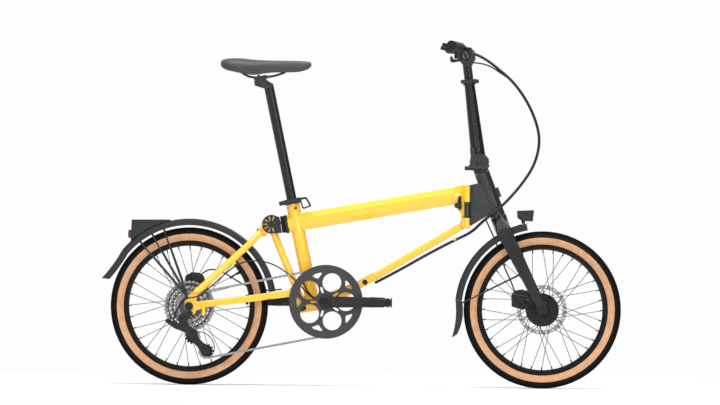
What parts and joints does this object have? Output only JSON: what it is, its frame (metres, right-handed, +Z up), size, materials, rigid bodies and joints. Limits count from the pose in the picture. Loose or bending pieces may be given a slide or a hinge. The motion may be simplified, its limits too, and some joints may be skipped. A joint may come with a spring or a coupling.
{
  "type": "folding bicycle",
  "caption": "Folding bicycle with small wheels, a straight main tube, swinging rear triangle, front hinge, folding handlepost, derailleur, disc brakes and hub motor.",
  "frame": {"origin": "on the ground under the middle of the bicycle's length, in its middle plane", "axes": "+X forward, +Y to the rider's left, +Z up"},
  "size_m": [1.6706, 0.567, 1.111],
  "materials": {
    "yellow_paint": "gloss",
    "satin_black": "satin",
    "head_grey": "satin",
    "ring_grey": "satin",
    "black_rubber": "matt",
    "tyre_rubber": "matt",
    "bright_steel": "satin",
    "fender_plastic": "matt",
    "red_lens": "gloss",
    "rim_black": "satin",
    "saddle_cover": "matt"
  },
  "bodies": {
    "frame": {"main_tube": "yellow_paint", "seat_tube": "yellow_paint", "down_tube": "yellow_paint", "bottom_bracket_lug": "yellow_paint", "frame_pins": "satin_black", "rear_end_cap": "satin_black", "suspension_pad": "black_rubber", "seat_clamp": "satin_black", "chain": "bright_steel", "control_cables": "black_rubber"},
    "seat_clamp_lever": {"seat_clamp_lever": "satin_black"},
    "hinge_latch": {"hinge_latch": "satin_black"},
    "rear_triangle": {"chain_stays": "yellow_paint", "rear_struts": "yellow_paint", "seat_stays": "yellow_paint", "suspension_hub": "satin_black", "rear_axle": "satin_black", "rear_fender": "fender_plastic", "rear_light": "red_lens", "rear_caliper": "satin_black", "derailleur_body": "satin_black", "rear_cables": "black_rubber"},
    "derailleur_cage": {"derailleur_cage": "satin_black"},
    "guide_pulley": {"guide_pulley": "fender_plastic"},
    "tension_pulley": {"tension_pulley": "fender_plastic"},
    "cassette": {"cassette": "bright_steel"},
    "rear_wheel": {"rear_tyre": "tyre_rubber", "rear_rim": "rim_black", "rear_spokes": "bright_steel", "rear_hub": "satin_black", "rear_rotor": "bright_steel"},
    "crankset": {"chainring": "ring_grey", "crank_arms": "ring_grey"},
    "pedal_right": {"pedal_right": "fender_plastic"},
    "pedal_left": {"pedal_left": "fender_plastic"},
    "seatpost": {"seatpost": "satin_black", "saddle_rails": "satin_black", "saddle": "saddle_cover"},
    "head": {"head_frame": "head_grey"},
    "fork": {"fork": "satin_black", "stem_base": "satin_black", "front_fender": "fender_plastic", "headlight": "fender_plastic", "front_caliper": "satin_black"},
    "front_wheel": {"front_tyre": "tyre_rubber", "front_rim": "rim_black", "front_spokes": "bright_steel", "hub_motor": "satin_black", "front_rotor": "bright_steel"},
    "handlepost": {"handlepost": "satin_black"},
    "stem_latch": {"stem_latch": "satin_black"},
    "post_clamp_lever": {"post_clamp_lever": "satin_black"},
    "handlebar": {"handlebar": "satin_black", "grips": "black_rubber", "bar_controls": "satin_black"},
    "brake_lever_right": {"brake_lever_right": "satin_black"},
    "brake_lever_left": {"brake_lever_left": "satin_black"},
    "shift_trigger": {"shift_trigger": "satin_black"}
  },
  "joints": [
    {"name": "rear_fold", "type": "hinge", "parent": "frame", "child": "rear_triangle", "pos_m": [-0.18725, 0, 0.252], "axis": [0, 1, 0], "range_deg": [-125, 1.5], "deforming": ["suspension_pad", "chain", "rear_cables"]},
    {"name": "front_fold", "type": "hinge", "parent": "frame", "child": "head", "pos_m": [0.33625, -0.036, 0.572], "axis": [0, 0, -1], "range_deg": [0, 135], "deforming": ["control_cables"]},
    {"name": "steering", "type": "hinge", "parent": "head", "child": "fork", "pos_m": [0.38665, 0, 0.6829], "axis": [0.3584, 0, -0.9336], "range_deg": [-45, 45]},
    {"name": "handlepost_fold", "type": "hinge", "parent": "fork", "child": "handlepost", "pos_m": [0.37425, 0.034, 0.722], "axis": [-1, 0, 0], "range_deg": [0, 120]},
    {"name": "handlepost_slide", "type": "slide", "parent": "handlepost", "child": "handlebar", "axis": [-0.1317, 0, 0.9913], "range_m": [-0.035, 0.06]},
    {"name": "seatpost_slide", "type": "slide", "parent": "frame", "child": "seatpost", "axis": [-0.2101, 0, 0.9777], "range_m": [-0.18, 0.03]},
    {"name": "seat_clamp_release", "type": "hinge", "parent": "frame", "child": "seat_clamp_lever", "pos_m": [-0.26001, -0.0196, 0.58569], "axis": [0.2101, 0, -0.9777], "range_deg": [0, 100]},
    {"name": "hinge_latch_release", "type": "hinge", "parent": "frame", "child": "hinge_latch", "pos_m": [0.31325, -0.0265, 0.59], "axis": [0, 0, 1], "range_deg": [0, 60]},
    {"name": "stem_latch_release", "type": "hinge", "parent": "fork", "child": "stem_latch", "pos_m": [0.36225, -0.037, 0.706], "axis": [1, 0, 0], "range_deg": [0, 95]},
    {"name": "post_clamp_release", "type": "hinge", "parent": "handlepost", "child": "post_clamp_lever", "pos_m": [0.36382, -0.0166, 0.986], "axis": [0, 0, 1], "range_deg": [0, 100]},
    {"name": "brake_left_pull", "type": "hinge", "parent": "handlebar", "child": "brake_lever_left", "pos_m": [0.3407, 0.132, 1.0786], "axis": [0, 0, 1], "range_deg": [0, 15], "stiffness_Nm_per_rad": 0.8, "springref_deg": -20.05},
    {"name": "brake_right_pull", "type": "hinge", "parent": "handlebar", "child": "brake_lever_right", "pos_m": [0.3407, -0.132, 1.0786], "axis": [0, 0, -1], "range_deg": [0, 15], "stiffness_Nm_per_rad": 0.8, "springref_deg": -20.05},
    {"name": "shift_press", "type": "hinge", "parent": "handlebar", "child": "shift_trigger", "pos_m": [0.30771, -0.11, 1.05], "axis": [0, 0, -1], "range_deg": [0, 20], "stiffness_Nm_per_rad": 0.3, "springref_deg": -11.46},
    {"name": "rear_wheel_spin", "type": "hinge", "parent": "rear_triangle", "child": "rear_wheel", "pos_m": [-0.55275, 0, 0.253], "axis": [0, 1, 0], "continuous": true},
    {"name": "front_wheel_spin", "type": "hinge", "parent": "fork", "child": "front_wheel", "pos_m": [0.58225, 0, 0.253], "axis": [0, 1, 0], "continuous": true},
    {"name": "crank_spin", "type": "hinge", "parent": "frame", "child": "crankset", "pos_m": [-0.11385, 0, 0.2721], "axis": [0, 1, 0], "continuous": true},
    {"name": "cassette_spin", "type": "hinge", "parent": "rear_triangle", "child": "cassette", "pos_m": [-0.55275, 0, 0.253], "axis": [0, 1, 0], "continuous": true},
    {"name": "pedal_right_spin", "type": "hinge", "parent": "crankset", "child": "pedal_right", "pos_m": [0.06115, -0.137, 0.2721], "axis": [0, 1, 0], "continuous": true},
    {"name": "pedal_left_spin", "type": "hinge", "parent": "crankset", "child": "pedal_left", "pos_m": [-0.28885, 0.137, 0.2721], "axis": [0, 1, 0], "continuous": true},
    {"name": "cage_swing", "type": "hinge", "parent": "rear_triangle", "child": "derailleur_cage", "pos_m": [-0.54075, -0.0494, 0.155], "axis": [0, 1, 0], "range_deg": [-15, 10]},
    {"name": "guide_pulley_spin", "type": "hinge", "parent": "derailleur_cage", "child": "guide_pulley", "pos_m": [-0.54075, -0.0494, 0.155], "axis": [0, 1, 0], "continuous": true},
    {"name": "tension_pulley_spin", "type": "hinge", "parent": "derailleur_cage", "child": "tension_pulley", "pos_m": [-0.49575, -0.0494, 0.11], "axis": [0, 1, 0], "continuous": true}
  ],
  "couplings": [
    {"joint": "cassette_spin", "follows": "crank_spin", "ratio": 2.9444},
    {"joint": "guide_pulley_spin", "follows": "crank_spin", "ratio": -4.8182},
    {"joint": "tension_pulley_spin", "follows": "crank_spin", "ratio": 4.8182}
  ]
}
